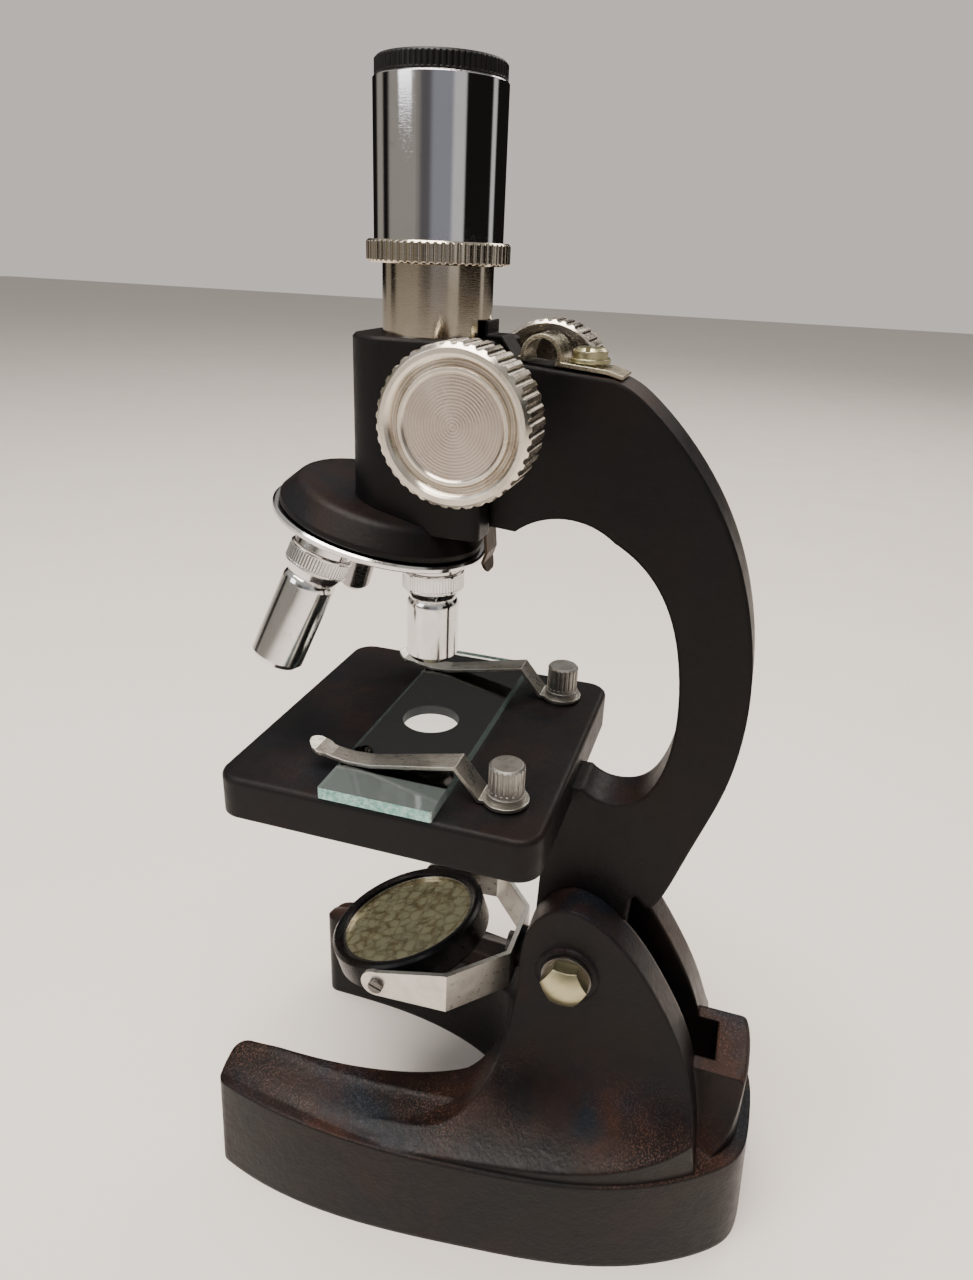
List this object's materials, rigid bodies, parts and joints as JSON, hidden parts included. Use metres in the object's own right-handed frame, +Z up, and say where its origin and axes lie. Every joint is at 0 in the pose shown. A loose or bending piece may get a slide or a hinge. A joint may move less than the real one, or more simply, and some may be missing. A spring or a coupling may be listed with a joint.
{
  "type": "compound microscope",
  "caption": "Small upright student microscope with horseshoe foot, curved arm, rack focusing, rotating nosepiece, square stage with clips and swivelling mirror.",
  "frame": {"origin": "on the surface it stands on, under the centre of the bounding box", "axes": "+Z up along the upright tube, +X to the instrument's right-hand focus knob, -Y towards the open toes of the foot, +Y towards the arm"},
  "size_m": [0.0868, 0.137, 0.262],
  "materials": {
    "black_enamel": "semi-gloss black enamel with wear",
    "black_satin": "satin black enamel",
    "matte_black": "matte black enamel",
    "chrome": "polished chrome plate",
    "nickel": "warm polished nickel plate",
    "knob_metal": "turned bright nickel plate",
    "satin_steel": "satin nickelled steel",
    "dark_steel": "darkened steel",
    "aged_brass": "aged brass",
    "spring_steel": "tarnished spring steel",
    "black_plastic": "matte black plastic",
    "glass": "clear glass",
    "slide_glass": "clear glass with a greenish edge",
    "mirror": "aged silvered glass"
  },
  "bodies": {
    "foot": {"base": "black_enamel", "inclination_bolt": "aged_brass", "bolt_washers": "dark_steel", "bolt_nut": "aged_brass"},
    "arm": {"arm": "black_enamel", "pinion_bushes": "aged_brass", "stop_plate": "matte_black", "pinion_strap": "nickel", "strap_screw": "aged_brass", "stage": "matte_black", "stage_screws": "dark_steel", "clip_washer_left": "dark_steel", "clip_washer_right": "dark_steel", "fork_screw": "dark_steel"},
    "carriage": {"body_housing": "black_satin", "rack": "aged_brass", "rack_screws": "dark_steel", "body_tube": "nickel", "field_lens": "glass", "nosepiece_cover": "black_satin", "turret_pivot": "dark_steel", "index_spring": "spring_steel", "index_screw": "dark_steel"},
    "eyepiece": {"eyepiece_sleeve": "chrome", "zoom_ring": "nickel", "eyecup": "black_plastic", "eye_lens": "glass"},
    "pinion": {"pinion_shaft": "dark_steel", "pinion_gear": "aged_brass", "focus_knob_left": "knob_metal", "focus_knob_right": "knob_metal"},
    "turret": {"turret_plate": "chrome", "objective_short": "nickel", "objective_medium": "chrome", "objective_long": "chrome", "objective_lens_short": "glass", "objective_lens_medium": "glass", "objective_lens_long": "glass"},
    "clip_right": {"stage_clip_right": "satin_steel", "clip_post_right": "satin_steel"},
    "clip_left": {"stage_clip_left": "satin_steel", "clip_post_left": "satin_steel"},
    "slide": {"glass_slide": "slide_glass"},
    "fork": {"mirror_fork": "satin_steel"},
    "mirror": {"mirror_frame": "black_satin", "mirror_glass": "mirror", "mirror_retainer": "aged_brass", "mirror_pivots": "dark_steel"}
  },
  "joints": [
    {"name": "arm_tilt", "type": "hinge", "parent": "foot", "child": "arm", "pos_m": [0, 0.0181, 0.0728], "axis": [-1, 0, 0], "range_deg": [0, 60]},
    {"name": "focus_slide", "type": "slide", "parent": "arm", "child": "carriage", "axis": [0, 0, 1], "range_m": [-0.0085, 0]},
    {"name": "pinion_turn", "type": "hinge", "parent": "arm", "child": "pinion", "pos_m": [0, -0.0069, 0.2034], "axis": [1, 0, 0], "range_deg": [0, 165]},
    {"name": "eyepiece_slide", "type": "slide", "parent": "carriage", "child": "eyepiece", "axis": [0, 0, 1], "range_m": [0, 0.016]},
    {"name": "turret_turn", "type": "hinge", "parent": "carriage", "child": "turret", "pos_m": [0, -0.0358, 0.175], "axis": [0, 0.2419, 0.9703], "continuous": true},
    {"name": "clip_right_turn", "type": "hinge", "parent": "arm", "child": "clip_right", "pos_m": [0.0256, 0.003, 0.1245], "axis": [0, 0, 1], "range_deg": [-20, 60]},
    {"name": "clip_left_turn", "type": "hinge", "parent": "arm", "child": "clip_left", "pos_m": [-0.0256, 0.003, 0.1245], "axis": [0, 0, 1], "range_deg": [-60, 20]},
    {"name": "slide_move", "type": "slide", "parent": "arm", "child": "slide", "axis": [1, 0, 0], "range_m": [-0.012, 0.012]},
    {"name": "fork_swivel", "type": "hinge", "parent": "arm", "child": "fork", "pos_m": [0, 0.0018, 0.0634], "axis": [0, 1, 0], "range_deg": [-90, 90]},
    {"name": "mirror_tilt", "type": "hinge", "parent": "fork", "child": "mirror", "pos_m": [0, -0.0284, 0.061], "axis": [1, 0, 0], "range_deg": [-60, 60]}
  ],
  "couplings": [
    {"joint": "pinion_turn", "follows": "focus_slide", "rad_per_m": -333.33}
  ]
}
